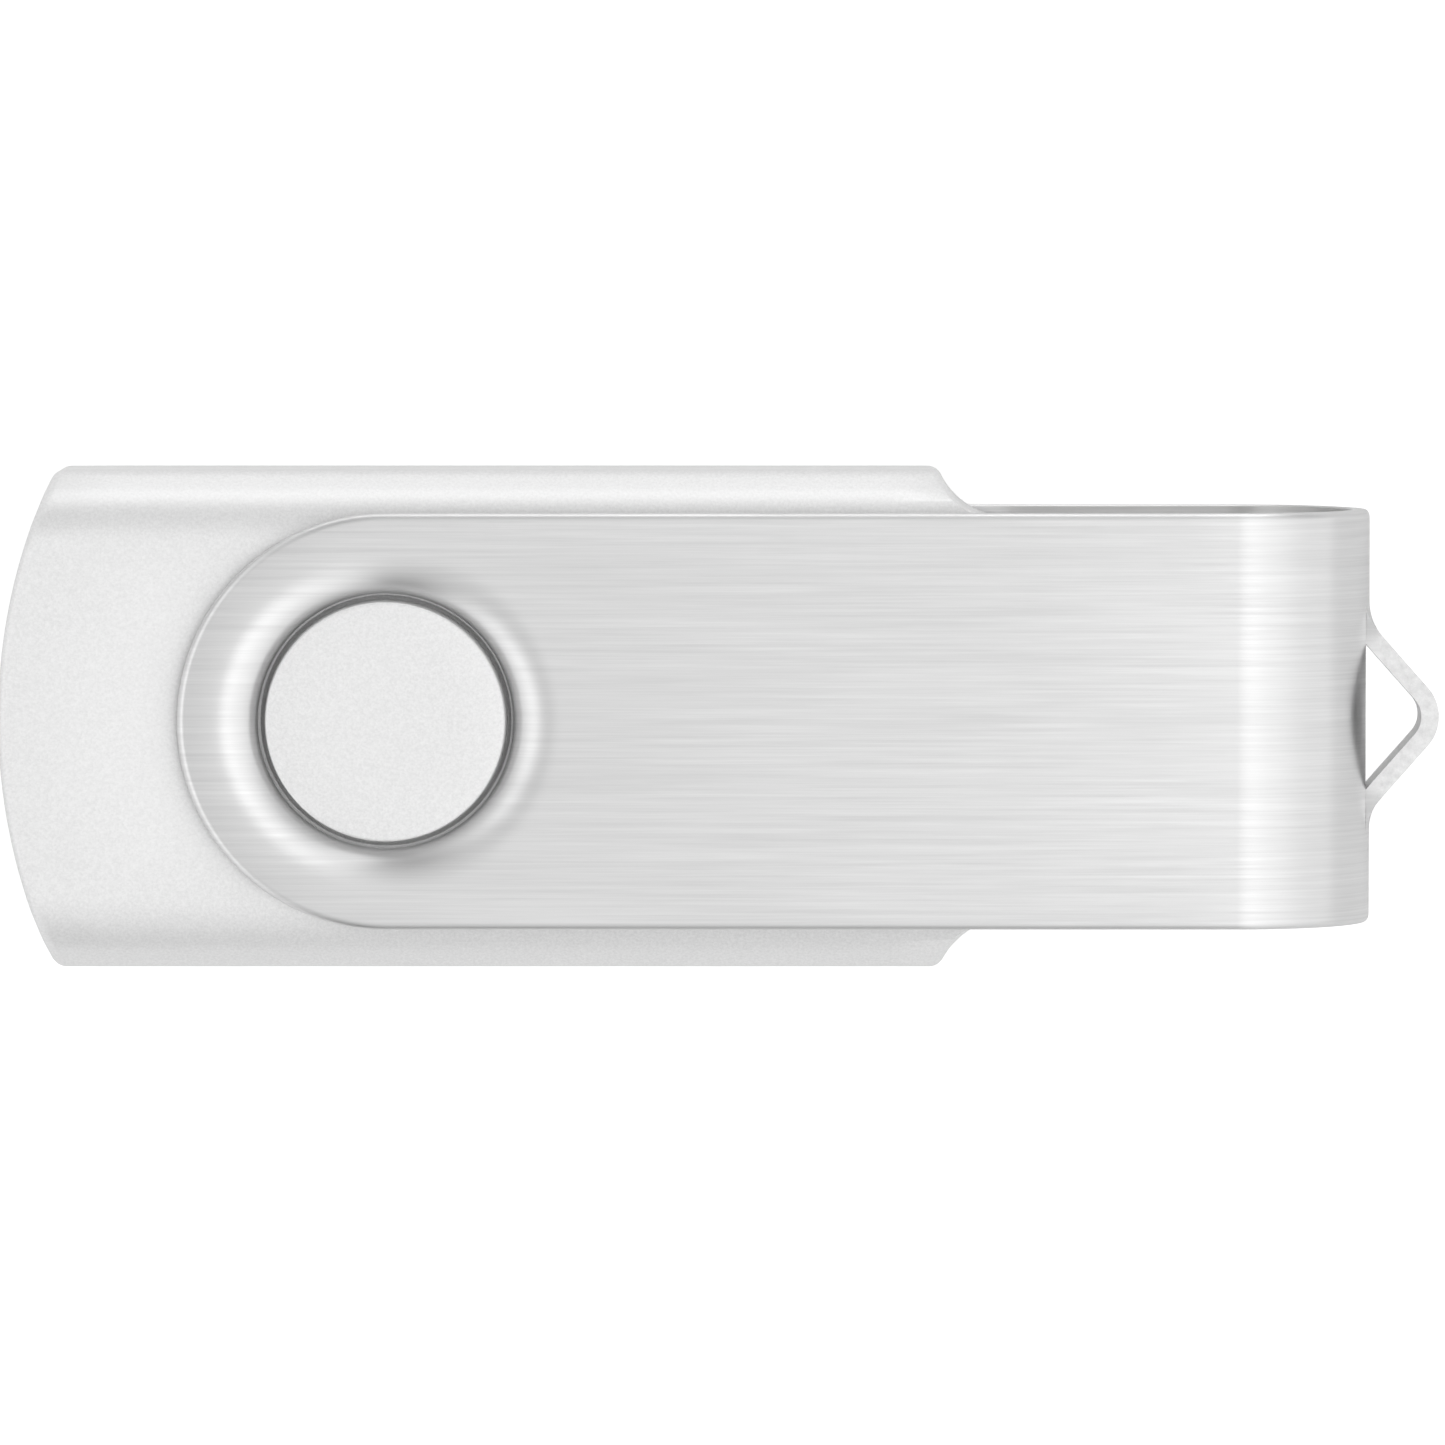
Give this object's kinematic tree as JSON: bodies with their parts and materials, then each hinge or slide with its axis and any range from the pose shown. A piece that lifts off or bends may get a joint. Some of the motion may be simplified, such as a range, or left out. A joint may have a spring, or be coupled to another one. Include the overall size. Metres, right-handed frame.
{
  "type": "usb flash drive",
  "caption": "Flat pocket USB flash drive: a rounded silver case on a round pivot boss inside a brushed U-shaped metal cover that swivels off the plug, with a small eyelet at the bend.",
  "frame": {"origin": "on the surface that the drive lies on, under the middle of its overall box, which includes the cover and its eyelet", "axes": "+X along the length from the case's rounded rear end to the eyelet, +Y across the width, +Z out of the front face, with the back leaf of the cover down"},
  "size_m": [0.057, 0.0198, 0.0109],
  "materials": {
    "case_paint": "silver metallic paint on moulded plastic, satin",
    "cover_aluminium": "brushed along its length, clear anodised",
    "plug_steel": "nickel plated",
    "insulator_plastic": "moulded, black",
    "contact_gold": "gold plated",
    "board_laminate": "green solder mask on glass laminate",
    "chip_resin": "moulded resin, black, with tinned leads",
    "crystal_can": "plain metal lid on a ceramic tray",
    "lamp_resin": "clear resin",
    "resistor_body": "black glaze with tinned ends",
    "capacitor_ceramic": "matte with tinned ends"
  },
  "bodies": {
    "body": {"case_front": "case_paint", "case_back": "case_paint", "plug_shell": "plug_steel", "plug_insulator": "insulator_plastic", "contact_power": "contact_gold", "contact_data_minus": "contact_gold", "contact_data_plus": "contact_gold", "contact_ground": "contact_gold", "circuit_board": "board_laminate", "flash_memory": "chip_resin", "controller": "chip_resin", "crystal": "crystal_can", "status_lamp": "lamp_resin", "resistor_lamp": "resistor_body", "resistor_data_minus": "resistor_body", "resistor_data_plus": "resistor_body", "resistor_reset": "resistor_body", "capacitor_power": "capacitor_ceramic", "capacitor_memory": "capacitor_ceramic", "capacitor_core": "capacitor_ceramic", "capacitor_crystal_in": "capacitor_ceramic", "capacitor_crystal_out": "capacitor_ceramic"},
    "cover": {"swivel_cover": "cover_aluminium"}
  },
  "joints": [
    {"name": "cover_swivel", "type": "hinge", "parent": "body", "child": "cover", "pos_m": [-0.0132, 0, 0], "axis": [0, 0, 1], "continuous": true}
  ]
}
